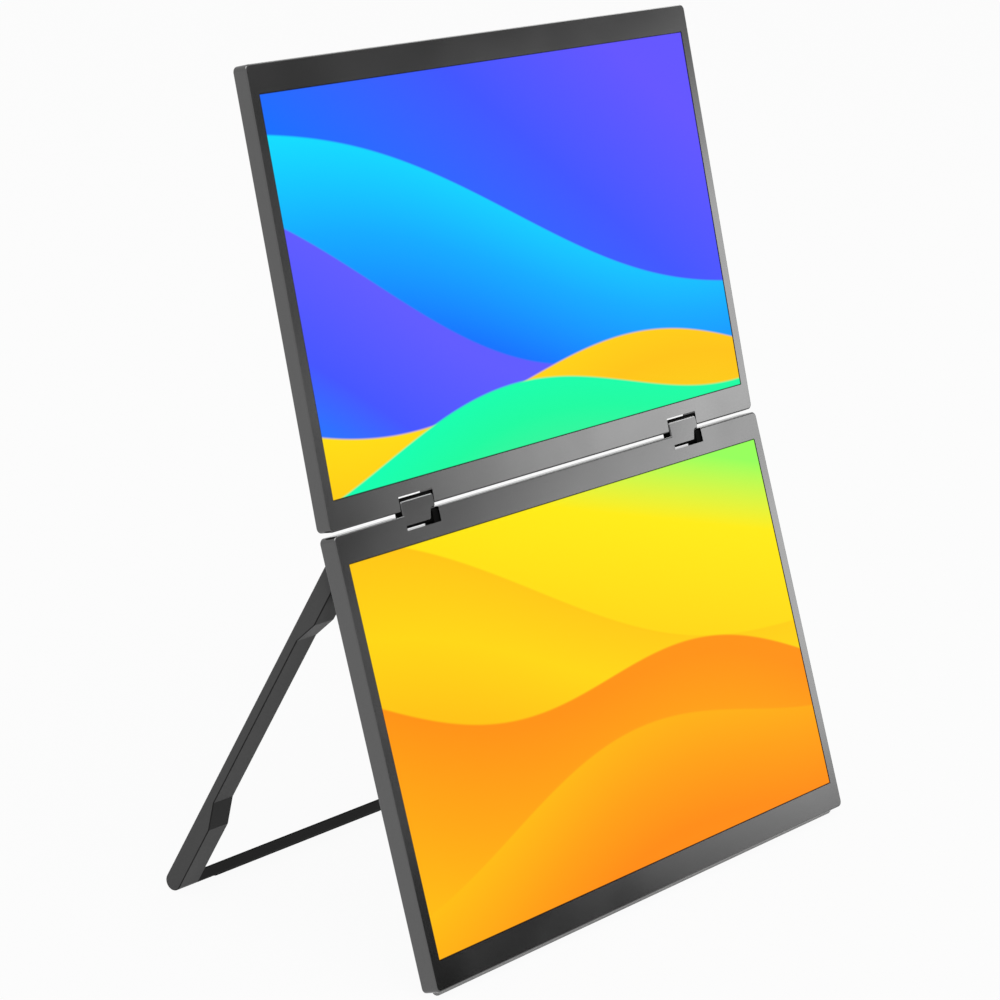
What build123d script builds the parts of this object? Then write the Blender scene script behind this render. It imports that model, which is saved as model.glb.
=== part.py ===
from build123d import *
import math
import os

# Folding portable monitor with two stacked screens, millimetres and degrees.
# Each display is drawn in its own frame: X to the right, Y into the depth with the
# front face at 0, Z up from the bottom edge. q is the distance from the hinged edge.

# Outlines of the displays
view_w = 344.2
view_h = 193.6
side_border = 6.4
end_border = 14.2
upper_depth = 8.2
lower_depth = 9.6
corner_r = 3.0
edge_r = 0.8
front_wall = 1.0
side_wall = 1.6
back_wall = 1.2
cover_gap = 0.15
glass_gap = 0.15
glass_recess = 0.25

# Screen stack
cell_border = 2.6
driver_border = 5.4
cell_t = 0.9
film_t = 0.4
guide_t = 1.0
tray_sheet = 0.35
stack_gap = 0.15
led_w = 1.6
led_inset = 6.0

# Links between the displays
hinge_inset = 66.0
notch_w = 26.0
notch_d = 7.5
notch_wall = 1.2
link_t = 4.8
link_end = 2.3
link_corner_r = 1.2
link_side_gap = 0.4
link_edge_r = 0.6
link_relief = 4.0
knuckle_gap = 0.2
knuckle_q = 0.7
knuckle_y = 0.9
knuckle_t = 6.3
knuckle_r = 1.6
upper_axis_q = 4.0
lower_axis_q = 4.3
upper_axis_y = 2.6
edge_gap = 2.0
screen_tilt = 3.43
shaft_r = 1.1
run_gap = 0.05
pass_gap = 0.15
collar_r = 1.55
collar_w = 2.6
lug_w = 9.0
lug_h = 8.8
lug_gap = 0.1
flange_w = 9.0
flange_t = 1.2
flange_y = 2.6
bridge_t = 1.0
bridge_h = 9.6
bridge_gap = 0.2

# Screws
screw_r = 0.8
screw_head_r = 1.6
screw_head_t = 0.7
small_head_t = 0.45
boss_r = 2.2
thread_len = 3.0
head_gap = 0.15
head_sink = 0.1
hinge_boss_q = 6.0
far_boss_q = 4.6
hinge_boss_inset = 14.5
far_boss_inset = 28.5
far_boss_share = 0.28

# Controller board with its sockets, at the right-hand side
board_gap = 0.6
board_t = 1.0
board_w_share = 0.29
board_h_share = 0.585
board_z_share = 0.25
board_edge = 2.6
board_screw_in = 9.0
socket_gap = 0.1
socket_len = 7.4
socket_sink = 0.9
usb_w = 8.9
usb_t = 3.2
usb_shell = 0.32
usb_tongue = (5.0, 0.7, 6.7)
usb_z_shares = (0.325, 0.395)
hdmi_w = 11.4
hdmi_t = 3.2
hdmi_cut = 0.9
hdmi_shell = 0.35
hdmi_tongue = (4.6, 0.6, 8.0)
hdmi_z_share = 0.475
jack_bore_r = 1.8
jack_depth = 13.0
jack_barrel_r = 2.2
jack_body = (11.5, 4.4, 6.4)
jack_sink = 0.2
jack_z_share = 0.55
chip_t = 1.2
chips = ((18.0, 34.0, 16.0), (46.0, 60.0, 14.0), (30.0, 92.0, 10.0))

# Buttons in the right-hand wall
key_t = 2.3
key_gap = 0.15
key_flange_t = 0.8
key_flange_rim = 0.45
power_w = 7.0
power_z_share = 0.66
power_travel = 0.5
power_rest_gap = 0.1
rocker_w = 14.6
rocker_end_gap = 0.3
rocker_z_share = 0.755
rocker_rib_r = 1.0
rocker_rib_gap = 0.05
rocker_rest_gap = 0.35
switch_body = (2.0, 3.0, 4.0)
switch_tip_r = 0.7
switch_tip = 0.75
switch_gap = 0.15
rocker_switch_z = 5.2

# Rear cover of the lower display: raised middle between the stand's arms
hump_back = 9.6
hump_wall = 1.2
hump_r = 5.0
hump_edge_r = 2.4
hump_arm_gap = 0.6
hump_top_q = 9.6
hump_bar_gap = 1.2
well_wall = 1.2
well_gap = 0.5
vent_n = 14
vent_w = 2.0
vent_h = 16.0
vent_pitch = 6.0
vent_q = 22.0
grille_rows = 3
grille_n = 9
grille_w = 4.0
grille_h = 1.6
grille_step_x = 6.0
grille_step_z = 3.6

# Speakers
speaker_w = 62.0
speaker_h = 18.0
speaker_t = 6.5
speaker_in = 12.0
speaker_up = 7.0
speaker_rim = 1.2
speaker_dish = 1.0

# Rubber strip under the lower display
strip_r = 2.5
strip_y = 6.2
strip_sink = 0.8
strip_inset = 4.6

# Stand
stand_inset = 3.6
arm_w = 14.4
arm_t = 9.6
arm_thin = 5.0
arm_back_gap = 0.3
pivot_drop = 21.1
pivot_in = 5.8
arm_end_r = 9.4
leg_over = 2.6
bar_h = 13.0
ramp_1 = (22.0, 36.0)
foot_ramp = (59.5, 44.9)
bar_lip = 0.8
bar_bevel = 30.0
window_r = 1.5
arm_edge_r = 0.7
stand_open = 47.1
pin_r = 1.5
pin_run_gap = 0.04
pin_depth = 11.0
pin_end_gap = 0.3
pin_hold = 9.0
pivot_block_h = 12.0
pivot_block_front = 4.4
foot_w = 10.0
foot_t = 1.5
foot_rise = 2.5
pad_t = 1.0
pad_proud = 0.4
pad_front_angle = 60.0
pad_back_angle = 25.0
pad_inset = 30.0


def box(x0, x1, y0, y1, z0, z1):
    mid = Pos((x0 + x1) / 2, (y0 + y1) / 2, (z0 + z1) / 2)
    return mid * Box(x1 - x0, y1 - y0, z1 - z0)


def rod_x(r, x0, x1, y, z):
    return Pos((x0 + x1) / 2, y, z) * Rot(0, 90, 0) * Cylinder(r, x1 - x0)


def rod_y(r, y0, y1, x, z):
    return Pos(x, (y0 + y1) / 2, z) * Rot(90, 0, 0) * Cylinder(r, y1 - y0)


def slab(w, h, r, y0, y1, z_mid):
    # Plate with rounded corners, seen from the front as w by h
    return Pos(0, y1, z_mid) * extrude(Plane.XZ * RectangleRounded(w, h, r), y1 - y0)


def slot_x(t, w, r, x0, x1, y, z):
    # Bar along X with a rounded section, t in depth and w in height
    return Pos(x0, y, z) * extrude(Plane.YZ * RectangleRounded(t, w, r), x1 - x0)


def flip_x(shape):
    return mirror(shape, Plane.YZ)


def group(solids):
    return Compound([s.solid() for s in solids])


# Values that follow from the sizes above
panel_w = view_w + 2 * side_border
panel_h = view_h + 2 * end_border
half_w = panel_w / 2
in_x = half_w - side_wall
cell_half = view_w / 2 + cell_border
cell_q0 = end_border - cell_border
cell_q1 = panel_h - end_border + driver_border
cell_y = front_wall
film_y = cell_y + cell_t
guide_y = film_y + film_t
tray_y = guide_y + guide_t
stack_back = tray_y + tray_sheet
board_y = stack_back + board_gap
board_back = board_y + board_t
board_w = board_w_share * panel_w
board_h = board_h_share * panel_h
board_z = board_z_share * panel_h
board_x1 = in_x - board_edge
board_x0 = board_x1 - board_w
socket_y = stack_back + socket_gap + usb_t / 2
jack_y = stack_back + socket_gap + jack_body[1] / 2
socket_tip = half_w - socket_sink
socket_rear = socket_tip - socket_len
key_y = socket_y
usb_z = [share * panel_h for share in usb_z_shares]
hdmi_z = hdmi_z_share * panel_h
jack_z = jack_z_share * panel_h
power_z = power_z_share * panel_h
rocker_z = rocker_z_share * panel_h
rocker_axis_x = in_x - rocker_rib_gap - rocker_rib_r
hinge_x = half_w - hinge_inset
hinge_boss_x = (0.0, hinge_x / 2, half_w - hinge_boss_inset)
far_boss_x = (far_boss_share * half_w, half_w - far_boss_inset)
notch_half = notch_w / 2
liner_half = notch_half + notch_wall
liner_q = notch_d + notch_wall
lug_x0 = liner_half + lug_gap
lug_x1 = lug_x0 + lug_w
lug_q1 = side_wall + lug_h
flange_x1 = lug_x1 + flange_w
flange_screw_x = lug_x1 + flange_w / 2
lower_axis_y = upper_axis_y + lower_depth - upper_depth
flange_q0 = max(upper_axis_q, lower_axis_q) + collar_r + lug_gap
flange_screw_q = (flange_q0 + lug_q1) / 2

# Links: they stand upright between the edges, and the backs of both displays are level
axis_dist = upper_axis_q + edge_gap + lower_axis_q

# Stand in the frame of the lower display
arm_x1 = half_w - stand_inset
arm_x0 = arm_x1 - arm_w
pivot_y = lower_depth + arm_back_gap + pivot_in
pivot_z = panel_h - pivot_drop
leg_len = pivot_z + leg_over
arm_front = -pivot_in
arm_back = arm_t - pivot_in
foot_r = arm_t / 2
foot_y = (arm_front + arm_back) / 2
foot_z = -(leg_len - foot_r)
pad_r = foot_r + pad_proud
hump_x = arm_x0 - hump_arm_gap
hump_y = lower_depth + hump_back
hump_in_y = hump_y - hump_wall
hump_in_x = hump_x - hump_wall
hump_z0 = pivot_z - leg_len + bar_h + hump_bar_gap
hump_z1 = panel_h - hump_top_q

# Lean: the floor touches the rubber strip and the pad on the stand
open_cos = math.cos(math.radians(stand_open))
open_sin = math.sin(math.radians(stand_open))
rest_y = pivot_y + foot_y * open_cos - foot_z * open_sin
rest_z = pivot_z + foot_y * open_sin + foot_z * open_cos
base_run = math.hypot(rest_y - strip_y, rest_z)
lean = math.degrees(math.atan2(rest_z, rest_y - strip_y))
lean = lean - math.degrees(math.asin((pad_r - strip_r) / base_run))


class Display:
    # One of the two displays: name, depth, side of the hinged edge and its axis
    def __init__(self, name, depth, hinge_on_top, axis_q, axis_y):
        self.name = name
        self.depth = depth
        self.hinge_on_top = hinge_on_top
        self.axis_q = axis_q
        self.axis_y = axis_y
        self.cover_y = depth - back_wall
        self.lower = hinge_on_top

    def z(self, q):
        return panel_h - q if self.hinge_on_top else q

    def block(self, x0, x1, y0, y1, q0, q1):
        z0, z1 = sorted((self.z(q0), self.z(q1)))
        return box(x0, x1, y0, y1, z0, z1)

    def boss_places(self):
        places = []
        for x in hinge_boss_x:
            for sx in sorted({-x, x}):
                places.append((sx, self.z(hinge_boss_q)))
        for x in far_boss_x:
            for sx in (-x, x):
                places.append((sx, self.z(panel_h - far_boss_q)))
        return places

    def flange_places(self):
        places = []
        for side in (-1, 1):
            for out in (-1, 1):
                x = side * hinge_x + out * flange_screw_x
                places.append((x, self.z(flange_screw_q)))
        return places

    def board_places(self):
        places = []
        for x in (board_x0 + board_screw_in, board_x1 - 2 * board_screw_in):
            for z in (board_z + board_screw_in, board_z + board_h - board_screw_in):
                places.append((x, z))
        return places

    def inner_back(self):
        return hump_in_y if self.lower else self.cover_y


def side_openings(d):
    # Openings in the right-hand wall for sockets and buttons
    x0 = in_x - side_wall
    x1 = half_w + side_wall
    cuts = []
    for z in usb_z:
        w = usb_w + 2 * pass_gap
        t = usb_t + 2 * pass_gap
        cuts.append(slot_x(t, w, t / 2.02, x0, x1, socket_y, z))
    w = hdmi_w + 2 * pass_gap
    t = hdmi_t + 2 * pass_gap
    cuts.append(slot_x(t, w, hdmi_cut, x0, x1, socket_y, hdmi_z))
    if d.lower:
        cuts.append(rod_x(jack_barrel_r + pass_gap, x0, x1, jack_y, jack_z))
    t = key_t + 2 * key_gap
    cuts.append(slot_x(t, power_w + 2 * key_gap, t / 2.02, x0, x1, key_y, power_z))
    w = rocker_w + 2 * rocker_end_gap
    cuts.append(slot_x(t, w, t / 2.02, x0, x1, key_y, rocker_z))
    return cuts


def front_bezel(d):
    mid = panel_h / 2
    body = slab(panel_w, panel_h, corner_r, 0, d.depth, mid)
    body = fillet(body.faces().sort_by(Axis.Y)[0].edges(), edge_r)
    body = fillet(body.faces().sort_by(Axis.Y)[-1].edges(), edge_r)
    inner_r = corner_r - side_wall
    room = slab(2 * in_x, panel_h - 2 * side_wall, inner_r, front_wall, d.depth + 1, mid)
    for side in (-1, 1):
        x = side * hinge_x
        room -= d.block(x - liner_half, x + liner_half, 0, d.depth + 1, -1, liner_q)
    body -= room
    body -= slab(view_w, view_h, 0.5, -1, front_wall + 1, mid)
    for side in (-1, 1):
        x = side * hinge_x
        body -= d.block(x - notch_half, x + notch_half, -1, d.depth + 1, -1, notch_d)
        shaft_x0 = x - liner_half - 1
        shaft_x1 = x + liner_half + 1
        body -= rod_x(shaft_r + pass_gap, shaft_x0, shaft_x1, d.axis_y, d.z(d.axis_q))
    for x, z in d.boss_places():
        post = rod_y(boss_r, front_wall, d.cover_y, x, z)
        body += post - rod_y(screw_r, d.cover_y - thread_len, d.cover_y, x, z)
    for x, z in d.flange_places():
        post = rod_y(boss_r, front_wall, flange_y, x, z)
        body += post - rod_y(screw_r, front_wall + head_sink, flange_y, x, z)
    for cut in side_openings(d):
        body -= cut
    if d.lower:
        x = half_w - strip_inset
        body -= box(-x, x, strip_y - strip_r, strip_y + strip_r, -1, strip_sink)
    return body


def cover_plate(d):
    gap = side_wall + cover_gap
    plate_r = corner_r - gap
    plate = slab(panel_w - 2 * gap, panel_h - 2 * gap, plate_r, d.cover_y, d.depth, panel_h / 2)
    for side in (-1, 1):
        x = side * hinge_x
        w = liner_half + cover_gap
        plate -= d.block(x - w, x + w, 0, d.depth + 1, -1, liner_q + cover_gap)
    return plate


def screw_cuts(d):
    cuts = []
    for x, z in d.boss_places():
        cuts.append(rod_y(screw_r + pass_gap, 0, d.depth + 1, x, z))
        head_y = d.depth - screw_head_t - head_sink
        cuts.append(rod_y(screw_head_r + head_gap, head_y, d.depth + 1, x, z))
    return cuts


def vent_cuts(d, y0, y1, q):
    cuts = []
    for i in range(vent_n):
        x = (i - (vent_n - 1) / 2) * vent_pitch
        cuts.append(d.block(x - vent_w / 2, x + vent_w / 2, y0, y1, q, q + vent_h))
    return cuts


def board_posts(d):
    posts = []
    for x, z in d.board_places():
        post = rod_y(boss_r, board_back, d.inner_back(), x, z)
        posts.append(post - rod_y(screw_r, board_back, board_back + thread_len / 2, x, z))
    return posts


def upper_cover(d):
    plate = cover_plate(d)
    for cut in screw_cuts(d):
        plate -= cut
    for cut in vent_cuts(d, d.cover_y - 1, d.depth + 1, panel_h / 2):
        plate -= cut
    for post in board_posts(d):
        plate += post
    return plate


def well(grow, top):
    # Room in the lower cover for the turning end of one arm
    reach = arm_end_r + well_gap
    x0 = hump_x - grow
    x1 = arm_x1 + well_gap + grow
    y0 = pivot_y - reach - grow
    return box(x0, x1, y0, top, pivot_z - pivot_in - well_gap - grow, pivot_z + reach + grow)


def hump(x, y0, y1, z0, z1, r, edge):
    body = slab(2 * x, z1 - z0, r, y0, y1, (z0 + z1) / 2)
    if edge > 0:
        body = fillet(body.faces().sort_by(Axis.Y)[-1].edges(), edge)
    return body


def hump_room(y0):
    # Room inside the raised middle, open to the display
    z0 = hump_z0 + hump_wall
    z1 = hump_z1 - hump_wall
    return hump(hump_in_x, y0, hump_in_y, z0, z1, hump_r - hump_wall, hump_edge_r - hump_wall)


def speaker_place(side):
    x = side * (hump_in_x - speaker_in - speaker_w / 2)
    return x, hump_z0 + hump_wall + speaker_up + speaker_h / 2


def lower_cover(d):
    plate = cover_plate(d)
    for side in (1, -1):
        outer = well(well_wall, d.depth)
        plate += outer if side > 0 else flip_x(outer)
    plate += hump(hump_x, d.cover_y, hump_y, hump_z0, hump_z1, hump_r, hump_edge_r)
    plate -= hump_room(d.cover_y - 1)
    for side in (1, -1):
        room = well(0, d.depth + 1)
        plate -= room if side > 0 else flip_x(room)
        x0, x1 = sorted((side * (hump_in_x - 1), side * (hump_x + 1)))
        plate -= rod_x(pin_r + pass_gap, x0, x1, pivot_y, pivot_z)
        x = side * (hump_in_x - pin_hold - foot_w / 2)
        for z in (-1, 1):
            post = rod_y(boss_r, hump_in_y - foot_rise, hump_in_y, x, foot_screw_z(z))
            plate += post - rod_y(screw_r, hump_in_y - foot_rise, hump_in_y - head_sink, x, foot_screw_z(z))
        sx, sz = speaker_place(side)
        for i in range(grille_n):
            for k in range(grille_rows):
                x = sx + (i - (grille_n - 1) / 2) * grille_step_x
                z = sz + (k - (grille_rows - 1) / 2) * grille_step_z
                plate -= box(x - grille_w / 2, x + grille_w / 2, hump_in_y - 1, hump_y + 1,
                             z - grille_h / 2, z + grille_h / 2)
    for cut in screw_cuts(d):
        plate -= cut
    for cut in vent_cuts(d, hump_in_y - 1, hump_y + 1, hump_top_q + vent_q):
        plate -= cut
    for post in board_posts(d):
        plate += post
    return plate


def screen_glass():
    w = view_w - 2 * glass_gap
    h = view_h - 2 * glass_gap
    return slab(w, h, 0.4, glass_recess, front_wall, panel_h / 2)


def stack_sheet(d, y0, y1, short=0.0):
    return d.block(-cell_half, cell_half, y0, y1, cell_q0, cell_q1 - short)


def led_strip(d):
    x = cell_half - led_inset
    return d.block(-x, x, guide_y, tray_y, cell_q1 - led_w, cell_q1)


def backlight_tray(d):
    g = stack_gap
    s = stack_gap + tray_sheet
    outer = d.block(-cell_half - s, cell_half + s, cell_y, stack_back, cell_q0 - s, cell_q1 + s)
    inner = d.block(-cell_half - g, cell_half + g, cell_y - 1, tray_y, cell_q0 - g, cell_q1 + g)
    return outer - inner


def usb_ports():
    ports = []
    for z in usb_z:
        shell = slot_x(usb_t, usb_w, usb_t / 2.02, socket_rear, socket_tip, socket_y, z)
        t = usb_t - 2 * usb_shell
        x0 = socket_rear + usb_shell
        shell -= slot_x(t, usb_w - 2 * usb_shell, t / 2.02, x0, socket_tip + 1, socket_y, z)
        length, tongue_t, tongue_w = usb_tongue
        shell += box(socket_rear, x0 + length, socket_y - tongue_t / 2, socket_y + tongue_t / 2,
                     z - tongue_w / 2, z + tongue_w / 2)
        ports.append(shell)
    return group(ports)


def hdmi_port():
    shell = slot_x(hdmi_t, hdmi_w, hdmi_cut, socket_rear, socket_tip, socket_y, hdmi_z)
    t = hdmi_t - 2 * hdmi_shell
    w = hdmi_w - 2 * hdmi_shell
    x0 = socket_rear + hdmi_shell
    shell -= slot_x(t, w, hdmi_cut - hdmi_shell, x0, socket_tip + 1, socket_y, hdmi_z)
    length, tongue_t, tongue_w = hdmi_tongue
    shell += box(socket_rear, x0 + length, socket_y - tongue_t / 2, socket_y + tongue_t / 2,
                 hdmi_z - tongue_w / 2, hdmi_z + tongue_w / 2)
    return shell


def audio_jack():
    tip = half_w - jack_sink
    length, t, w = jack_body
    face = in_x - socket_gap
    body = box(face - length, face, jack_y - t / 2, jack_y + t / 2, jack_z - w / 2, jack_z + w / 2)
    body += rod_x(jack_barrel_r, face - 1, tip, jack_y, jack_z)
    return body - rod_x(jack_bore_r, tip - jack_depth, tip + 1, jack_y, jack_z)


def switch_places():
    # Distance from the axis plane of each tact switch, and its height
    power_back = in_x - power_rest_gap - key_flange_t
    rocker_back = in_x - rocker_rest_gap - key_flange_t
    gap = power_travel + switch_gap
    return (
        (power_back - gap, power_z),
        (rocker_back - gap, rocker_z - rocker_switch_z),
        (rocker_back - gap, rocker_z + rocker_switch_z),
    )


def tact_switches():
    made = []
    length, t, w = switch_body
    for tip, z in switch_places():
        x1 = tip - switch_tip
        body = box(x1 - length, x1, key_y - t / 2, key_y + t / 2, z - w / 2, z + w / 2)
        made.append(body + rod_x(switch_tip_r, x1 - 0.5, tip, key_y, z))
    return group(made)


def controller_board(d):
    board = box(board_x0, board_x1, board_y, board_back, board_z, board_z + board_h)
    spots = [(socket_rear, usb_w, z) for z in usb_z]
    spots.append((socket_rear, hdmi_w, hdmi_z))
    if d.lower:
        spots.append((in_x - socket_gap - jack_body[0], jack_body[2], jack_z))
    for tip, z in switch_places():
        spots.append((tip - switch_tip - switch_body[0], switch_body[2], z))
    for x, w, z in spots:
        half = w / 2 + socket_gap
        board -= box(x, board_x1 + 5, board_y - 1, board_back + 1, z - half, z + half)
    for x, z, w in chips:
        board += box(board_x0 + x, board_x0 + x + w, board_back, board_back + chip_t,
                     board_z + z, board_z + z + w)
    for x, z in d.board_places():
        board -= rod_y(screw_r + pass_gap, board_y - 1, board_back + 1, x, z)
    return board


def screw(head_r, head_t, length, x, y, z, way):
    # Screw with the underside of its head at y, its shank pointing along way * Y
    head = rod_y(head_r, min(y, y - way * head_t), max(y, y - way * head_t), x, z)
    tip = y + way * length
    return head + rod_y(screw_r, min(y, tip), max(y, tip), x, z)


def cover_screws(d):
    y = d.depth - head_sink - screw_head_t
    length = y - d.cover_y + thread_len - head_sink
    return group(screw(screw_head_r, screw_head_t, length, x, y, z, -1) for x, z in d.boss_places())


def bracket_screws(d):
    y = flange_y + flange_t
    length = y - front_wall - 2 * head_sink
    return group(screw(screw_head_r, screw_head_t, length, x, y, z, -1) for x, z in d.flange_places())


def board_screws(d):
    length = board_t + thread_len / 2 - head_sink
    return group(screw(screw_head_r, small_head_t, length, x, board_y, z, 1) for x, z in d.board_places())


def hinge_bracket(d, side):
    x = side * hinge_x
    top = d.cover_y - bridge_gap
    body = None
    for out in (-1, 1):
        a, b = sorted((x + out * lug_x0, x + out * lug_x1))
        lug = d.block(a, b, front_wall, top, side_wall, lug_q1)
        c, e = sorted((x + out * lug_x1, x + out * flange_x1))
        lug += d.block(c, e, flange_y, flange_y + flange_t, flange_q0, lug_q1)
        body = lug if body is None else body + lug
    y = stack_back + bridge_gap
    body += d.block(x - lug_x1, x + lug_x1, y, y + bridge_t, liner_q + bridge_gap, lug_q1 + bridge_h)
    body -= rod_x(shaft_r, x - lug_x1 - 1, x + lug_x1 + 1, d.axis_y, d.z(d.axis_q))
    for out in (-1, 1):
        sx = x + out * flange_screw_x
        body -= rod_y(screw_r + pass_gap, front_wall, top, sx, d.z(flange_screw_q))
    return body


def hinge_shaft(d, side):
    x = side * hinge_x
    ends = sorted((x - side * lug_x1, x + side * (lug_x1 + collar_w)))
    return rod_x(shaft_r, ends[0], ends[1], d.axis_y, d.z(d.axis_q))


def hinge_collars(d):
    made = []
    for side in (-1, 1):
        x = side * hinge_x
        ends = sorted((x + side * lug_x1, x + side * (lug_x1 + collar_w)))
        ring = rod_x(collar_r, ends[0], ends[1], d.axis_y, d.z(d.axis_q))
        made.append(ring - rod_x(shaft_r, ends[0] - 1, ends[1] + 1, d.axis_y, d.z(d.axis_q)))
    return group(made)


def hinge_knuckles(d):
    # Blocks in the notches that hold the shafts beside the narrow parts of the links
    made = []
    for side in (-1, 1):
        x1 = side * hinge_x + notch_half
        x0 = x1 - link_side_gap - link_relief + knuckle_gap
        body = d.block(x0, x1, knuckle_y, knuckle_y + knuckle_t, knuckle_q, notch_d)
        body = fillet(body.edges().filter_by(Axis.X).group_by(Axis.Z)[-1], knuckle_r)
        made.append(body - rod_x(shaft_r, x0 - 1, x1 + 1, d.axis_y, d.z(d.axis_q)))
    return group(made)


def power_button():
    t = key_t
    back = in_x - power_rest_gap - key_flange_t
    cap = slot_x(t, power_w, t / 2.02, back, half_w, key_y, power_z)
    rim = 2 * key_flange_rim
    return cap + slot_x(t + rim, power_w + rim, t / 2, back, back + key_flange_t, key_y, power_z)


def menu_rocker():
    t = key_t
    back = in_x - rocker_rest_gap - key_flange_t
    cap = slot_x(t, rocker_w, t / 2.02, back, half_w, key_y, rocker_z)
    half = t / 2 + key_flange_rim
    return cap + rod_y(rocker_rib_r, key_y - half, key_y + half, rocker_axis_x, rocker_z)


def foot_strip():
    x = half_w - strip_inset
    bar = box(-x, x, strip_y - strip_r, strip_y + strip_r, 0, strip_sink)
    end = x - strip_r
    rounded = rod_x(strip_r, -end, end, strip_y, 0)
    for side in (-1, 1):
        rounded += Pos(side * end, strip_y, 0) * Sphere(strip_r)
    return bar + (rounded & box(-x, x, strip_y - strip_r, strip_y + strip_r, -strip_r, 0))


def speaker(side):
    x, z = speaker_place(side)
    y0 = hump_in_y - speaker_t
    body = Pos(x, 0, 0) * slab(speaker_w, speaker_h, 3, y0, hump_in_y, z)
    w = speaker_w - 2 * speaker_rim
    h = speaker_h - 2 * speaker_rim
    return body - Pos(x, 0, 0) * slab(w, h, 2, hump_in_y - speaker_dish, hump_in_y + 1, z)


def foot_screw_z(way):
    return pivot_z + way * (pivot_block_h / 2 - boss_r)


def stand_bracket(side):
    x1 = hump_in_x
    x0 = x1 - pin_hold
    z0 = pivot_z - pivot_block_h / 2
    z1 = pivot_z + pivot_block_h / 2
    body = box(x0, x1, pivot_y - pivot_block_front, hump_in_y, z0, z1)
    y1 = hump_in_y - foot_rise
    body += box(x0 - foot_w, x0, y1 - foot_t, y1, z0, z1)
    body = body & hump_room(0)
    body -= rod_x(pin_r, x0 - 1, x1 + 1, pivot_y, pivot_z)
    for way in (-1, 1):
        body -= rod_y(screw_r + pass_gap, y1 - foot_t - 1, y1 + 1, x0 - foot_w / 2, foot_screw_z(way))
    return body if side > 0 else flip_x(body)


def stand_screws():
    made = []
    y = hump_in_y - foot_rise - foot_t
    length = foot_t + foot_rise - 2 * head_sink
    for side in (-1, 1):
        x = side * (hump_in_x - pin_hold - foot_w / 2)
        for way in (-1, 1):
            made.append(screw(screw_head_r, screw_head_t, length, x, y, foot_screw_z(way), 1))
    return group(made)


def stand_pin(side):
    x0 = hump_in_x - pin_hold
    x1 = arm_x0 + pin_depth - pin_end_gap
    pin = rod_x(pin_r, x0, x1, pivot_y, pivot_z)
    return pin if side > 0 else flip_x(pin)


def pad_sector(x, r0, r1):
    # Part of a ring round the stand's bottom edge, drawn with the pivot at the origin
    a = math.radians(-pad_front_angle)
    b = math.radians(pad_back_angle)
    corners = []
    for r, angle in ((r0, a), (r1, a), (r1, 0), (r1, b), (r0, b), (r0, 0)):
        corners.append((foot_y + r * math.sin(angle), foot_z - r * math.cos(angle)))
    line = Line(corners[0], corners[1])
    line += ThreePointArc(corners[1], corners[2], corners[3])
    line += Line(corners[3], corners[4])
    line += ThreePointArc(corners[4], corners[5], corners[0])
    return Pos(-x, 0, 0) * extrude(Plane.YZ * make_face(line), 2 * x)


def bar_bevel_cut(top):
    # Finger bevel behind the bottom bar, from its top edge down to the foot
    lip = arm_front + bar_lip
    past = arm_back + 1
    drop = (past - lip) / math.tan(math.radians(bar_bevel))
    line = Polyline((lip, top), (past, top - drop), (past, top + arm_t), (lip, top + arm_t), close=True)
    return Pos(-arm_x0, 0, 0) * extrude(Plane.YZ * make_face(line), 2 * arm_x0)


def stand_frame():
    # Side outline with the pivot at the origin, arms hanging straight down
    back, front = arm_back, arm_front
    thin = back - arm_thin
    top_back = (back, math.sqrt(arm_end_r ** 2 - back ** 2))
    top_front = (front, math.sqrt(arm_end_r ** 2 - front ** 2))
    low_front = (front, foot_z)
    line = ThreePointArc(top_front, (0, arm_end_r), top_back)
    line += Line(top_back, (back, foot_z))
    line += ThreePointArc((back, foot_z), (foot_y, foot_z - foot_r), low_front)
    line += Polyline(low_front, (front, foot_ramp[1] - leg_len), (thin, foot_ramp[0] - leg_len),
                     (thin, -ramp_1[1]), (front, -ramp_1[0]), top_front)
    body = Pos(-arm_x1, 0, 0) * extrude(Plane.YZ * make_face(line), 2 * arm_x1)
    floor = foot_z - foot_r + bar_h
    height = arm_end_r - floor + window_r + 1
    hole = RectangleRounded(2 * arm_x0, height, window_r)
    body -= Pos(0, arm_t, floor + height / 2) * extrude(Plane.XZ * hole, 3 * arm_t)
    body = fillet(body.faces().sort_by(Axis.X)[0].edges(), arm_edge_r)
    body = fillet(body.faces().sort_by(Axis.X)[-1].edges(), arm_edge_r)
    body -= bar_bevel_cut(floor)
    body -= pad_sector(arm_x1 - pad_inset, pad_r - pad_t, pad_r + 1)
    body -= rod_x(pin_r + pin_run_gap, arm_x0 - 1, arm_x0 + pin_depth, 0, 0)
    body -= rod_x(pin_r + pin_run_gap, -arm_x0 - pin_depth, -arm_x0 + 1, 0, 0)
    return body


def hinge_link(side):
    # Drawn with the lower axis at the origin, relieved beside the lower shaft
    width = notch_w - 2 * link_side_gap
    shape = Pos(0, axis_dist / 2) * RectangleRounded(link_t, axis_dist + 2 * link_end, link_corner_r)
    body = extrude(Plane.YZ * shape, width)
    body = fillet(body.faces().sort_by(Axis.X)[0].edges(), link_edge_r)
    body = fillet(body.faces().sort_by(Axis.X)[-1].edges(), link_edge_r)
    for z in (0, axis_dist):
        body -= rod_x(shaft_r + run_gap, -1, width + 1, 0, z)
    body -= box(width - link_relief, width + 1, -link_t, link_t, -link_t, lower_axis_q + edge_gap / 2)
    return Pos(side * hinge_x - width / 2, 0, 0) * body


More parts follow.
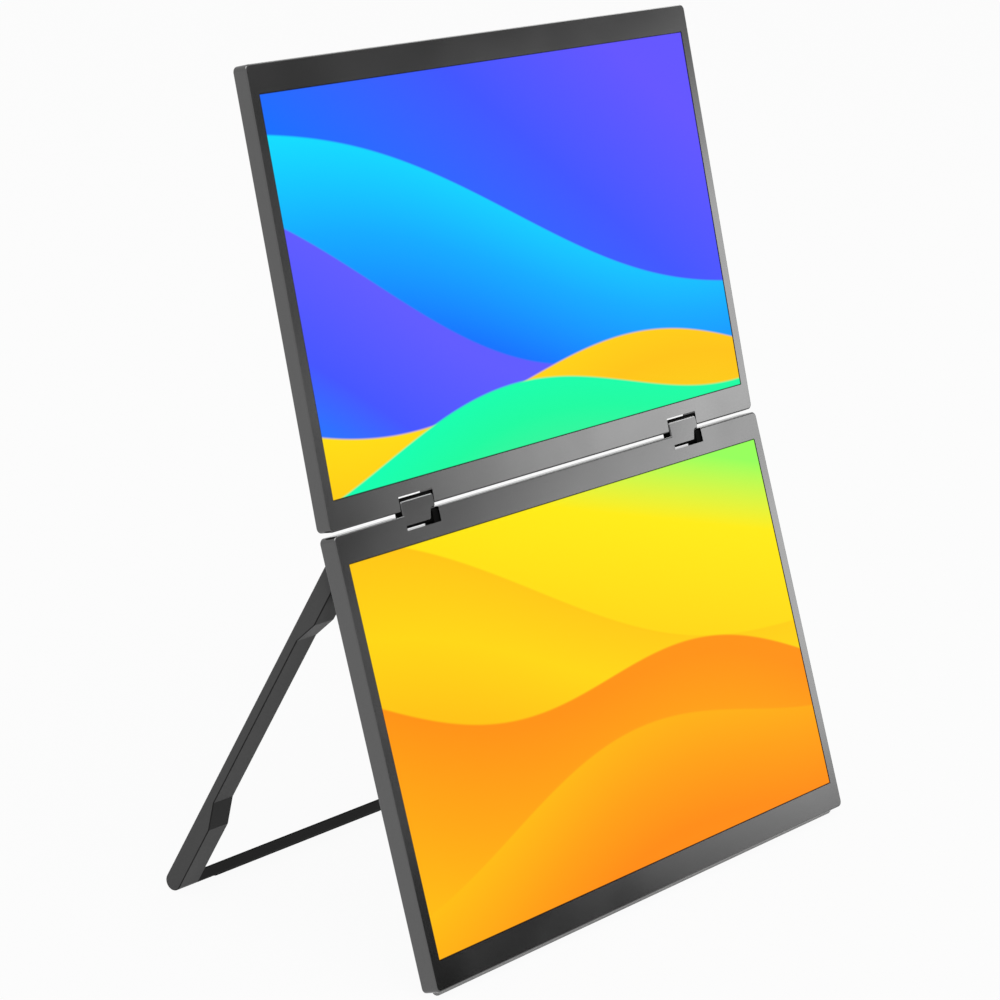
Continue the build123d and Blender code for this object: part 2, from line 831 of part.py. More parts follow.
def display_nodes(d):
    n = d.name
    made = {
        n + "_front_bezel": front_bezel(d),
        n + "_screen_glass": screen_glass(),
        n + "_lcd_cell": stack_sheet(d, cell_y, film_y),
        n + "_optical_films": stack_sheet(d, film_y, guide_y),
        n + "_light_guide": stack_sheet(d, guide_y, tray_y, led_w),
        n + "_led_strip": led_strip(d),
        n + "_backlight_tray": backlight_tray(d),
        n + "_controller_board": controller_board(d),
        n + "_usb_c_sockets": usb_ports(),
        n + "_mini_hdmi_socket": hdmi_port(),
        n + "_tact_switches": tact_switches(),
        n + "_board_screws": board_screws(d),
        n + "_cover_screws": cover_screws(d),
        n + "_bracket_screws": bracket_screws(d),
        n + "_left_hinge_bracket": hinge_bracket(d, -1),
        n + "_right_hinge_bracket": hinge_bracket(d, 1),
        n + "_left_hinge_shaft": hinge_shaft(d, -1),
        n + "_right_hinge_shaft": hinge_shaft(d, 1),
        n + "_hinge_collars": hinge_collars(d),
        n + "_power_button": power_button(),
        n + "_menu_rocker": menu_rocker(),
    }
    return made


upper = Display("upper", upper_depth, False, upper_axis_q, upper_axis_y)
lower = Display("lower", lower_depth, True, lower_axis_q, lower_axis_y)

# Places of the bodies in the frame of the lower display
lower_axis = (lower_axis_y, panel_h - lower_axis_q)
upper_axis = (lower_axis_y, lower_axis[1] + axis_dist)
lower_place = Rot(-lean, 0, 0)
link_place = lower_place * Pos(0, *lower_axis)
upper_place = (
    lower_place * Pos(0, *upper_axis) * Rot(screen_tilt, 0, 0) * Pos(0, -upper_axis_y, -upper_axis_q)
)
stand_place = lower_place * Pos(0, pivot_y, pivot_z) * Rot(stand_open, 0, 0)

nodes = {}
for name, shape in display_nodes(upper).items():
    nodes[name] = upper_place * shape
nodes["upper_rear_cover"] = upper_place * upper_cover(upper)
for name, shape in display_nodes(lower).items():
    nodes[name] = lower_place * shape
lower_only = {
    "lower_rear_cover": lower_cover(lower),
    "lower_hinge_knuckles": hinge_knuckles(lower),
    "lower_headphone_socket": audio_jack(),
    "left_speaker": speaker(-1),
    "right_speaker": speaker(1),
    "foot_strip": foot_strip(),
    "left_stand_bracket": stand_bracket(-1),
    "right_stand_bracket": stand_bracket(1),
    "stand_bracket_screws": stand_screws(),
    "left_stand_pin": stand_pin(-1),
    "right_stand_pin": stand_pin(1),
}
for name, shape in lower_only.items():
    nodes[name] = lower_place * shape
nodes["left_hinge_link"] = link_place * hinge_link(-1)
nodes["right_hinge_link"] = link_place * hinge_link(1)
nodes["stand_frame"] = stand_place * stand_frame()
nodes["stand_pad"] = stand_place * pad_sector(arm_x1 - pad_inset, pad_r - pad_t, pad_r)

# The origin lies on the floor, below the middle of the whole outline
boxes = [shape.bounding_box() for shape in nodes.values()]
mid_y = (min(b.min.Y for b in boxes) + max(b.max.Y for b in boxes)) / 2
floor_z = min(b.min.Z for b in boxes)
shift = Pos(0, -mid_y, -floor_z)

os.makedirs("parts", exist_ok=True)
for name, shape in nodes.items():
    export_step(shift * shape, os.path.join("parts", name + ".step"))


def report_point(label, place, y, z):
    spot = (shift * place * Pos(0, y, z)).position
    print(label, round(spot.X, 4), round(spot.Y, 4), round(spot.Z, 4))


print("lean", round(lean, 4), "axis_dist", round(axis_dist, 4))
report_point("lower hinge axis", lower_place, *lower_axis)
report_point("upper hinge axis", lower_place, *upper_axis)
report_point("stand axis", lower_place, pivot_y, pivot_z)
report_point("lower power button", lower_place, key_y, power_z)
report_point("lower rocker", lower_place, key_y, rocker_z)
report_point("upper power button", upper_place, key_y, power_z)
report_point("upper rocker", upper_place, key_y, rocker_z)
report_point("lower front origin", lower_place, 0, 0)
report_point("upper front origin", upper_place, 0, 0)
report_point("headphone socket", lower_place, jack_y, jack_z)
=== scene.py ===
import math

import bpy
from mathutils import Matrix, Vector


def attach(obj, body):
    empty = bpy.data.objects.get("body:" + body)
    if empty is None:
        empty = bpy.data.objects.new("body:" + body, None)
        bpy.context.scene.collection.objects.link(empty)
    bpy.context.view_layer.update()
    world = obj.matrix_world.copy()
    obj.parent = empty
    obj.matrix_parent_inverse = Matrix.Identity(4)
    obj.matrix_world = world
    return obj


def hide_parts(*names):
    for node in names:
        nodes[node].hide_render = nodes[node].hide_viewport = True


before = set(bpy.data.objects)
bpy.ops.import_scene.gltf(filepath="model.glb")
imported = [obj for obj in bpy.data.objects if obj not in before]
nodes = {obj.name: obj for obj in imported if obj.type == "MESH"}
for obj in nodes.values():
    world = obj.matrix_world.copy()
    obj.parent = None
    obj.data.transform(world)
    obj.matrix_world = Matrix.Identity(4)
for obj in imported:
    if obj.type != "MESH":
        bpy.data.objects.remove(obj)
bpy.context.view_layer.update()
bpy.ops.object.select_all(action="DESELECT")

# Places of the two displays in metres: front lower edge, lean of the front face
upper_edge = (0.0, -0.0041691, 0.2119235)
upper_lean = math.radians(18.4508)
lower_edge = (0.0, -0.0891191, 0.0048106)
lower_lean = math.radians(21.8808)
upper_depth = 0.0082
lower_depth = 0.0096
panel_h = 0.222
half_w = 0.1785
hinge_x = 0.1125

# Lit area of a display
view_w = 0.3442
view_h = 0.1936
view_base = 0.0142
# Narrow black border round the picture: painted shade of the bezel's lip
lip_shade_width = 0.0005
lip_shade_blur = 0.0002
wave_blur = 0.004
lip_shade_color = (0.004, 0.004, 0.004)
glass_black = (0.004, 0.004, 0.005, 1.0)

# Places on the stand as it stands at rest, where its painted shade lies
bar_half_span = 0.1605
bar_blur = 0.0002
arm_outer_x = 0.1749
arm_edge_w = 0.0008
# Share of painted shade, black, on the arms' outer edges
arm_edge_shade_share = 0.85
ramp_middle = (0.0, 0.0616206, 0.0470168)
ramp_turn = math.radians(7.7312)
ramp_half = 0.00765
ramp_skin = 0.0002
ramp_blur = 0.0003
# Share of painted shade, black, on the lower slants
ramp_shade_share = 0.68


# Helpers for shader nodes
def new_finish(name):
    made = bpy.data.materials.new(name)
    made.use_nodes = True
    tree = made.node_tree
    return made, tree, tree.nodes["Principled BSDF"]


def add(tree, kind, **settings):
    node = tree.nodes.new(kind)
    for key, value in settings.items():
        setattr(node, key, value)
    return node


def join(tree, out, into):
    tree.links.new(out, into)


def math_node(tree, operation, first, second=None, third=None):
    node = add(tree, "ShaderNodeMath", operation=operation)
    for k, value in enumerate((first, second, third)):
        if value is None:
            continue
        if isinstance(value, (int, float)):
            node.inputs[k].default_value = value
        else:
            join(tree, value, node.inputs[k])
    return node.outputs[0]


def object_place(tree):
    return add(tree, "ShaderNodeTexCoord").outputs["Object"]


def split_place(tree, place):
    node = add(tree, "ShaderNodeSeparateXYZ")
    join(tree, place, node.inputs["Vector"])
    return node.outputs


def own_frame(tree, place, location, turn, scale=(1.0, 1.0, 1.0)):
    # Place in a frame of its own, with its corner or middle at location and turned about X
    node = add(tree, "ShaderNodeMapping", vector_type="TEXTURE")
    node.inputs["Location"].default_value = location
    node.inputs["Rotation"].default_value = (turn, 0.0, 0.0)
    node.inputs["Scale"].default_value = scale
    join(tree, place, node.inputs["Vector"])
    return split_place(tree, node.outputs["Vector"])


def grain(tree, place, scale, detail=3.0, rough=0.55, stretch=None):
    if stretch is not None:
        turn = add(tree, "ShaderNodeMapping")
        turn.inputs["Scale"].default_value = stretch
        join(tree, place, turn.inputs["Vector"])
        place = turn.outputs["Vector"]
    node = add(tree, "ShaderNodeTexNoise")
    node.inputs["Scale"].default_value = scale
    node.inputs["Detail"].default_value = detail
    node.inputs["Roughness"].default_value = rough
    join(tree, place, node.inputs["Vector"])
    return node.outputs["Fac"]


def between(tree, value, low, high, out_low, out_high, smooth=False):
    node = add(tree, "ShaderNodeMapRange")
    if smooth:
        node.interpolation_type = "SMOOTHSTEP"
    for key, number in (("From Min", low), ("From Max", high), ("To Min", out_low), ("To Max", out_high)):
        node.inputs[key].default_value = number
    join(tree, value, node.inputs["Value"])
    return node.outputs["Result"]


def shades(tree, value, stops):
    node = add(tree, "ShaderNodeValToRGB")
    ramp = node.color_ramp
    while len(ramp.elements) < len(stops):
        ramp.elements.new(0.5)
    for element, (at, color) in zip(ramp.elements, stops):
        element.position = at
        element.color = (*color, 1.0)
    join(tree, value, node.inputs["Fac"])
    return node.outputs["Color"]


def spread(tone, dark, light, low=0.0, high=1.0):
    # Two stops of a colour ramp, a darker and a lighter share of one tone
    return ((low, tuple(dark * c for c in tone)), (high, tuple(light * c for c in tone)))


def blend_color(tree, share, under, over):
    node = add(tree, "ShaderNodeMix", data_type="RGBA")
    for key, value in (("A", under), ("B", over)):
        socket = next(s for s in node.inputs if s.name == key and s.type == "RGBA")
        if isinstance(value, tuple):
            socket.default_value = (*value, 1.0)
        else:
            join(tree, value, socket)
    join(tree, share, node.inputs[0])
    return next(s for s in node.outputs if s.type == "RGBA")


def bump(tree, shader, height, depth, strength):
    node = add(tree, "ShaderNodeBump")
    node.inputs["Strength"].default_value = strength
    node.inputs["Distance"].default_value = depth
    join(tree, height, node.inputs["Height"])
    join(tree, node.outputs["Normal"], shader.inputs["Normal"])


def srgb(r, g, b):
    def one(v):
        v = v / 255.0
        return v / 12.92 if v <= 0.04045 else ((v + 0.055) / 1.055) ** 2.4
    return (one(r), one(g), one(b))


def grey(v):
    return srgb(v, v, v)


# Finishes
def blasted(tree, shader, place, tone):
    # Sparkle grain of bead-blasted metal with its bump, and a broad cloudiness
    cloud = grain(tree, place, 14.0, 2.0)
    fine = grain(tree, place, 1500.0, 2.0, 0.7)
    color = shades(tree, between(tree, fine, 0.3, 0.7, 0.35, 0.65), spread(tone, 0.84, 1.16))
    bump(tree, shader, fine, 0.00002, 0.25)
    return color, cloud


def anodised(name, tone, rough):
    # Bead-blasted anodised aluminium
    made, tree, shader = new_finish(name)
    color, cloud = blasted(tree, shader, object_place(tree), tone)
    color = blend_color(tree, between(tree, cloud, 0.35, 0.65, 0.0, 0.16),
                        color, tuple(1.18 * c for c in tone))
    join(tree, color, shader.inputs["Base Color"])
    shader.inputs["Metallic"].default_value = 1.0
    join(tree, between(tree, cloud, 0.3, 0.7, rough - 0.03, rough + 0.03), shader.inputs["Roughness"])
    return made


def moulded(name, tone, rough, pit=900.0, depth=0.00004, strength=0.5, specular=0.4):
    # Moulded plastic or rubber with a fine spark-eroded texture
    made, tree, shader = new_finish(name)
    place = object_place(tree)
    fine = grain(tree, place, pit, 3.0, 0.6)
    broad = grain(tree, place, 22.0, 3.0)
    color = shades(tree, between(tree, broad, 0.3, 0.7, 0.0, 1.0), spread(tone, 0.9, 1.1))
    join(tree, color, shader.inputs["Base Color"])
    join(tree, between(tree, fine, 0.3, 0.7, rough - 0.06, rough + 0.06), shader.inputs["Roughness"])
    shader.inputs["Specular IOR Level"].default_value = specular
    bump(tree, shader, fine, depth, strength)
    return made


def edge_painted_shade(tree, off_middle):
    # Share of painted shade: black on the rounded outer edges of the stand's arms
    start = arm_outer_x - arm_edge_w
    inner = between(tree, off_middle, start, start + arm_edge_w / 2, 0.0, arm_edge_shade_share)
    outer = between(tree, off_middle, arm_outer_x - arm_edge_w / 8, arm_outer_x - arm_edge_w / 16, 1.0, 0.0)
    return math_node(tree, "MULTIPLY", inner, outer)


def ramp_painted_shade(tree, place):
    # Share of painted shade: black on the lower slants of the stand's arms
    here = own_frame(tree, place, ramp_middle, ramp_turn)
    share = ramp_shade_share
    for key, reach in (("Y", ramp_skin), ("Z", ramp_half)):
        away = math_node(tree, "ABSOLUTE", here[key])
        share = math_node(tree, "MULTIPLY", between(tree, away, reach, reach + ramp_blur, 1.0, 0.0), share)
    return share


def stand_with_painted_shade(name, tone, rough, painted_shade_tone):
    # Dark blasted arms with painted shade: black on their outer edges and lower slants, and a near-black
    # bar between them, which is also rougher
    made, tree, shader = new_finish(name)
    place = object_place(tree)
    color, cloud = blasted(tree, shader, place, tone)
    off_middle = math_node(tree, "ABSOLUTE", split_place(tree, place)["X"])
    bar = between(tree, off_middle, bar_half_span - bar_blur, bar_half_span, 1.0, 0.0)
    dark = math_node(tree, "MAXIMUM", edge_painted_shade(tree, off_middle), bar)
    dark = math_node(tree, "MAXIMUM", dark, ramp_painted_shade(tree, place))
    join(tree, blend_color(tree, dark, color, painted_shade_tone), shader.inputs["Base Color"])
    bare = between(tree, cloud, 0.3, 0.7, rough - 0.03, rough + 0.03)
    join(tree, math_node(tree, "MULTIPLY_ADD", bar, 0.3, bare), shader.inputs["Roughness"])
    shader.inputs["Specular IOR Level"].default_value = 0.1
    return made


def turned(name, tone, rough, stretch):
    # Drawn or turned metal with fine lines along one direction
    made, tree, shader = new_finish(name)
    lines = grain(tree, object_place(tree), 900.0, 2.0, 0.5, stretch)
    color = shades(tree, lines, spread(tone, 0.86, 1.08, 0.3, 0.7))
    join(tree, color, shader.inputs["Base Color"])
    shader.inputs["Metallic"].default_value = 1.0
    join(tree, between(tree, lines, 0.3, 0.7, rough - 0.05, rough + 0.07), shader.inputs["Roughness"])
    bump(tree, shader, lines, 0.00001, 0.2)
    return made


def clear_sheet(name, tone, rough):
    # Moulded acrylic or coated film
    made, tree, shader = new_finish(name)
    dots = grain(tree, object_place(tree), 420.0, 1.0)
    color = shades(tree, dots, spread(tone, 0.93, 1.0, 0.35, 0.65))
    join(tree, color, shader.inputs["Base Color"])
    join(tree, between(tree, dots, 0.3, 0.7, rough, rough + 0.08), shader.inputs["Roughness"])
    return made


# Lit screens
def screen_place(tree, edge, lean):
    # 0 to 1 across and up the lit area of one display
    corner = Vector(edge) + Matrix.Rotation(-lean, 3, "X") @ Vector((-view_w / 2, 0.0, view_base))
    here = own_frame(tree, object_place(tree), corner, -lean, (view_w, 1.0, view_h))
    return here["X"], here["Z"]


def above_wave(tree, across, up, base, slope, swell, waves, phase):
    # Height of a point over a gentle wave that runs across the screen
    angle = math_node(tree, "MULTIPLY_ADD", across, 2 * math.pi * waves, phase)
    crest = math_node(tree, "MULTIPLY", math_node(tree, "SINE", angle), swell)
    line = math_node(tree, "MULTIPLY_ADD", across, slope, base)
    return math_node(tree, "SUBTRACT", math_node(tree, "SUBTRACT", up, line), crest)


def inside_lip_shade(tree, across, up):
    # 0 on the narrow black border round the picture, which is painted shade of the bezel's lip, 1 inside it
    share = None
    for value, length in ((across, view_w), (up, view_h)):
        middle = math_node(tree, "ABSOLUTE", math_node(tree, "SUBTRACT", value, 0.5))
        depth = math_node(tree, "MULTIPLY", math_node(tree, "SUBTRACT", 0.5, middle), length)
        part = between(tree, depth, lip_shade_width - lip_shade_blur, lip_shade_width + lip_shade_blur, 0.0, 1.0)
        share = part if share is None else math_node(tree, "MULTIPLY", share, part)
    return share


def lit_screen(name, edge, lean, sky, ribbons):
    # Soft ribbons over a plain sky; each ribbon lies below its own wave
    made, tree, shader = new_finish(name)
    across, up = screen_place(tree, edge, lean)
    run, rise, offset, stops = sky
    fall = math_node(tree, "MULTIPLY_ADD", up, rise, offset)
    color = shades(tree, math_node(tree, "MULTIPLY_ADD", across, run, fall), stops)
    for wave, depth, drift, stops in ribbons:
        over = above_wave(tree, across, up, *wave)
        share = between(tree, over, -wave_blur, wave_blur, 1.0, 0.0, True)
        below = math_node(tree, "DIVIDE", over, -depth)
        inner = shades(tree, math_node(tree, "MULTIPLY_ADD", across, drift, below), stops)
        color = blend_color(tree, share, color, inner)
    # Black border round the picture, painted as the shade of the bezel's lip
    color = blend_color(tree, inside_lip_shade(tree, across, up), lip_shade_color, color)
    shader.inputs["Base Color"].default_value = glass_black
    shader.inputs["Roughness"].default_value = 0.42
    shader.inputs["Specular IOR Level"].default_value = 0.03
    join(tree, color, shader.inputs["Emission Color"])
    shader.inputs["Emission Strength"].default_value = 1.0
    return made


# A sky has its run across, rise, offset and colours
# A ribbon has its wave (base, slope, swell, waves, phase), depth, drift and colours
upper_sky = (0.75, 0.55, -0.15, (
    (0.0, srgb(0, 150, 255)), (0.35, srgb(12, 110, 255)),
    (0.7, srgb(62, 84, 255)), (1.0, srgb(98, 84, 255))))
upper_ribbons = (
    ((0.86, -0.52, 0.07, 0.8, 0.6), 0.5, 0.35, (
        (0.0, srgb(0, 222, 255)), (0.5, srgb(0, 170, 255)), (1.0, srgb(0, 110, 255)))),
    ((0.60, -0.62, 0.09, 0.9, 2.2), 0.55, -0.2, (
        (0.0, srgb(95, 90, 255)), (0.6, srgb(66, 84, 255)), (1.0, srgb(20, 120, 255)))),
    ((0.24, -0.16, 0.10, 0.75, 4.1), 0.4, 0.5, (
        (0.0, srgb(255, 222, 0)), (0.6, srgb(255, 196, 0)), (1.0, srgb(250, 205, 0)))),
    ((0.05, 0.06, 0.09, 0.85, 5.6), 0.3, 0.4, (
        (0.0, srgb(0, 255, 178)), (0.5, srgb(20, 250, 160)), (1.0, srgb(60, 240, 150)))),
)
lower_sky = (0.35, 0.75, -0.05, (
    (0.0, srgb(255, 170, 0)), (0.5, srgb(255, 205, 0)),
    (0.85, srgb(255, 236, 0)), (1.0, srgb(150, 255, 90))))
lower_ribbons = (
    ((0.98, -0.5, 0.08, 0.8, 1.2), 0.5, 0.3, (
        (0.0, srgb(255, 196, 0)), (0.5, srgb(255, 214, 0)), (1.0, srgb(255, 190, 0)))),
    ((0.66, -0.3, 0.09, 0.9, 3.4), 0.55, -0.1, (
        (0.0, srgb(255, 146, 0)), (0.5, srgb(255, 168, 0)), (1.0, srgb(255, 190, 0)))),
    ((0.20, 0.10, 0.10, 0.8, 5.2), 0.4, 0.4, (
        (0.0, srgb(255, 190, 0)), (0.6, srgb(255, 160, 0)), (1.0, srgb(255, 140, 0)))),
)
upper_picture = lit_screen("upper_screen_picture", upper_edge, upper_lean, upper_sky, upper_ribbons)
lower_picture = lit_screen("lower_screen_picture", lower_edge, lower_lean, lower_sky, lower_ribbons)

# Finish of each node
bezel_metal = anodised("bezel_anodised_grey", grey(97), 0.16)
plate_metal = anodised("link_plate_anodised_grey", grey(97), 0.16)
# Stand of dark blasted metal, with painted shade on its bar, outer edges and lower slants
stand_metal = stand_with_painted_shade("stand_dark_painted_shade", grey(77), 0.42, grey(6))
link_plastic = moulded("link_black_core", grey(8), 0.8, specular=0.05)
cover_plastic = moulded("cover_textured_plastic", grey(58), 0.58)
key_plastic = moulded("key_satin_plastic", grey(48), 0.42, 1400.0, 0.00002, 0.3)
strip_rubber = moulded("strip_grey_rubber", grey(172), 0.75, 700.0, 0.00005, 0.4, 0.25)
pad_rubber = moulded("pad_black_rubber", grey(40), 0.8, 700.0, 0.00005, 0.4, 0.25)
speaker_plastic = moulded("speaker_black_plastic", grey(30), 0.6)
socket_plastic = moulded("socket_black_plastic", grey(26), 0.45)
switch_plastic = moulded("switch_plastic", grey(60), 0.5)
board_mask = moulded("board_solder_mask", srgb(18, 92, 52), 0.35, 500.0, 0.00002, 0.2, 0.5)
led_plastic = moulded("led_strip_white", srgb(232, 226, 190), 0.5)
socket_metal = turned("socket_drawn_steel", grey(190), 0.28, (0.05, 1.0, 1.0))
screw_metal = turned("screw_black_zinc", grey(70), 0.36, (1.0, 1.0, 1.0))
bracket_metal = turned("bracket_pressed_steel", grey(178), 0.34, (0.06, 1.0, 1.0))
pin_metal = turned("pin_ground_steel", grey(196), 0.2, (1.0, 0.05, 0.05))
shaft_metal = turned("shaft_black_oxide", grey(30), 0.5, (1.0, 0.05, 0.05))
collar_metal = turned("collar_brass", srgb(214, 176, 96), 0.3, (1.0, 0.05, 0.05))
tray_metal = turned("tray_sheet_aluminium", grey(205), 0.4, (0.04, 1.0, 1.0))
cell_glass = clear_sheet("cell_dark_glass", grey(40), 0.12)
film_plastic = clear_sheet("film_white", grey(238), 0.5)
guide_acrylic = clear_sheet("guide_acrylic", srgb(226, 236, 240), 0.1)

# By the name after upper_ or lower_
finishes = {
    "front_bezel": bezel_metal, "rear_cover": cover_plastic, "lcd_cell": cell_glass,
    "optical_films": film_plastic, "light_guide": guide_acrylic, "led_strip": led_plastic,
    "backlight_tray": tray_metal, "controller_board": board_mask, "usb_c_sockets": socket_metal,
    "mini_hdmi_socket": socket_metal, "tact_switches": switch_plastic, "board_screws": screw_metal,
    "cover_screws": screw_metal, "bracket_screws": screw_metal, "left_hinge_bracket": bracket_metal,
    "right_hinge_bracket": bracket_metal, "left_hinge_shaft": shaft_metal, "right_hinge_shaft": shaft_metal,
    "hinge_collars": collar_metal, "hinge_knuckles": link_plastic, "power_button": key_plastic,
    "menu_rocker": key_plastic,
}
# By the whole name
own_finishes = {
    "upper_screen_glass": upper_picture, "lower_screen_glass": lower_picture,
    "lower_headphone_socket": socket_plastic, "left_speaker": speaker_plastic,
    "right_speaker": speaker_plastic, "foot_strip": strip_rubber, "left_stand_bracket": bracket_metal,
    "right_stand_bracket": bracket_metal, "stand_bracket_screws": screw_metal, "left_stand_pin": pin_metal,
    "right_stand_pin": pin_metal, "left_hinge_link": link_plastic, "right_hinge_link": link_plastic,
    "stand_frame": stand_metal, "stand_pad": pad_rubber,
}
for name, piece in nodes.items():
    finish = own_finishes.get(name) or finishes[name.split("_", 1)[1]]
    piece.data.materials.clear()
    piece.data.materials.append(finish)


# Helpers for the pieces that are modelled here
def start_piece(name):
    piece = bpy.context.object
    piece.name = name
    bpy.ops.object.transform_apply(location=True, rotation=True, scale=True)
    return piece


def select_none(kind):
    # Leaves the piece in object mode, with the given kind of part to be selected next
    bpy.ops.object.mode_set(mode="EDIT")
    bpy.ops.mesh.select_mode(type=kind)
    bpy.ops.mesh.select_all(action="DESELECT")
    bpy.ops.object.mode_set(mode="OBJECT")


def select_faces(piece, wanted):
    select_none("FACE")
    for face in piece.data.polygons:
        face.select = wanted(face)
    bpy.ops.object.mode_set(mode="EDIT")


def select_edges(piece, wanted):
    select_none("EDGE")
    points = piece.data.vertices
    for edge in piece.data.edges:
        first, second = (points[k].co for k in edge.vertices)
        edge.select = wanted(first, second)
    bpy.ops.object.mode_set(mode="EDIT")


def cut_away(piece, cutter):
    # Boolean cut of one piece by a second that is then removed
    bpy.ops.object.select_all(action="DESELECT")
    piece.select_set(True)
    bpy.context.view_layer.objects.active = piece
    cut = piece.modifiers.new("cut", "BOOLEAN")
    cut.operation = "DIFFERENCE"
    cut.object = cutter
    bpy.ops.object.modifier_apply(modifier=cut.name)
    bpy.data.objects.remove(cutter, do_unlink=True)


def set_in_display(piece, edge, lean):
    # From the frame of one display to the frame of the whole part
    piece.matrix_world = Matrix.Translation(edge) @ Matrix.Rotation(-lean, 4, "X")
    bpy.ops.object.transform_apply(location=True, rotation=True, scale=True)


# Cover plates of the hinge links, in the frame of the lower display
link_front = 0.0016
plate_w = 0.0248
plate_t = 0.00055
plate_low = 0.2164
plate_high = 0.2289
step_top = 0.2221
step_top_w = 0.0034
step_low_w = 0.0056
plate_corner_r = 0.0011
plate_chamfer = 0.00048


def plate_step(side):
    # What the lower right of a cover plate loses: a step that widens downwards
    bpy.ops.object.select_all(action="DESELECT")
    low = plate_low - plate_t
    bpy.ops.mesh.primitive_cube_add(
        size=1.0, location=(side, link_front, (low + step_top) / 2),
        scale=(2 * step_top_w, 4 * plate_t, step_top - low))
    cutter = start_piece("step_cutter")
    select_edges(cutter, lambda a, b: max(a.x, b.x) < side and max(a.z, b.z) < plate_low)
    bpy.ops.transform.translate(value=(step_top_w - step_low_w, 0.0, 0.0))
    bpy.ops.object.mode_set(mode="OBJECT")
    return cutter


def hinge_cover_plate(name, middle):
    # Thin plate on the front of one link, narrower at its lower right
    bpy.ops.object.select_all(action="DESELECT")
    bpy.ops.mesh.primitive_cube_add(
        size=1.0, location=(middle, link_front - plate_t / 2, (plate_low + plate_high) / 2),
        scale=(plate_w, plate_t, plate_high - plate_low))
    piece = start_piece(name)
    cut_away(piece, plate_step(middle + plate_w / 2))
    select_edges(piece, lambda a, b: abs(a.y - b.y) > 0.9 * plate_t)
    bpy.ops.mesh.bevel(offset=plate_corner_r, segments=6, affect="EDGES")
    front = link_front - 0.9 * plate_t
    select_edges(piece, lambda a, b: max(a.y, b.y) < front)
    bpy.ops.mesh.bevel(offset=plate_chamfer, segments=1, affect="EDGES")
    bpy.ops.object.mode_set(mode="OBJECT")
    set_in_display(piece, lower_edge, lower_lean)
    piece.data.materials.append(plate_metal)
    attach(piece, "hinge_links")


hinge_cover_plate("left_hinge_cover_plate", -hinge_x)
hinge_cover_plate("right_hinge_cover_plate", hinge_x)

# Cross-recess screws of the rear covers, in the frame of each display
head_r = 0.0016
head_t = 0.0007
head_edge_r = 0.0002
head_sink = 0.0001
head_smooth = math.radians(16.0)
shank_r = 0.0008
shank_len = 0.0032
recess_len = 0.0019
recess_w = 0.00042
recess_depth = 0.00045
hinge_screw_q = 0.006
far_screw_q = 0.0046
hinge_screw_end = half_w - 0.0145
far_screw_end = half_w - 0.0285
far_screw_mid = 0.28 * half_w
hinge_screw_x = (-hinge_screw_end, -hinge_x / 2, 0.0, hinge_x / 2, hinge_screw_end)
far_screw_x = (-far_screw_end, -far_screw_mid, far_screw_mid, far_screw_end)
quarter_turn = math.radians(90.0)


def cross_slot(turn):
    # One arm of the cross recess in a screw head
    bpy.ops.object.select_all(action="DESELECT")
    bpy.ops.mesh.primitive_cube_add(
        size=1.0, scale=(recess_len, 2 * recess_depth, recess_w), rotation=(0.0, turn, 0.0))
    return start_piece("recess_cutter")


def cover_screw():
    # Pan-head screw in its own frame: outer face of the head at 0, shank towards -Y
    bpy.ops.object.select_all(action="DESELECT")
    bpy.ops.mesh.primitive_cylinder_add(
        vertices=40, radius=head_r, depth=head_t, location=(0.0, -head_t / 2, 0.0),
        rotation=(quarter_turn, 0.0, 0.0))
    piece = start_piece("cover_screw")
    select_faces(piece, lambda face: face.normal.y < -0.9)
    bpy.ops.mesh.inset(thickness=head_r - shank_r)
    bpy.ops.mesh.extrude_region_move(TRANSFORM_OT_translate={"value": (0.0, -shank_len, 0.0)})
    select_edges(piece, lambda a, b: min(a.y, b.y) > -0.1 * head_t)
    bpy.ops.mesh.bevel(offset=head_edge_r, segments=4, affect="EDGES")
    bpy.ops.object.mode_set(mode="OBJECT")
    for turn in (0.0, quarter_turn):
        cut_away(piece, cross_slot(turn))
    bpy.ops.object.shade_smooth_by_angle(angle=head_smooth)
    return piece


def cover_screw_set(name, display, edge, lean, depth, hinge_z, far_z):
    # The screws of one rear cover, copied from a single one
    screw = cover_screw()
    places = [(x, hinge_z) for x in hinge_screw_x] + [(x, far_z) for x in far_screw_x]
    bpy.ops.object.select_all(action="DESELECT")
    for x, z in places:
        copy = screw.copy()
        copy.data = screw.data.copy()
        copy.location = (x, depth - head_sink, z)
        bpy.context.scene.collection.objects.link(copy)
        copy.select_set(True)
        bpy.context.view_layer.objects.active = copy
    bpy.data.objects.remove(screw, do_unlink=True)
    bpy.ops.object.transform_apply(location=True, rotation=True, scale=True)
    bpy.ops.object.join()
    piece = bpy.context.object
    piece.name = name
    set_in_display(piece, edge, lean)
    piece.data.materials.append(screw_metal)
    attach(piece, display + "_display")
    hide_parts(display + "_cover_screws")


cover_screw_set("upper_cover_cross_screws", "upper", upper_edge, upper_lean, upper_depth,
                hinge_screw_q, panel_h - far_screw_q)
cover_screw_set("lower_cover_cross_screws", "lower", lower_edge, lower_lean, lower_depth,
                panel_h - hinge_screw_q, far_screw_q)

# Studio
floor_size = 60.0
floor_drop = 0.0003
floor_tone = (0.35, 0.35, 0.35, 1.0)
floor_white_share = 0.95
card_bearing = math.radians(58.0)
card_height = math.radians(6.35)
card_away = 7.0
card_w = 5.6
card_h = 4.4
card_aim = Vector((0.0, 0.0, 0.21))
glow_w = 1.4
glow_h = 0.94
glow_level = 3.35
lamp_aim = Vector((0.0, 0.0, 0.2))
sky_light = 0.9
sky_seen = 0.97


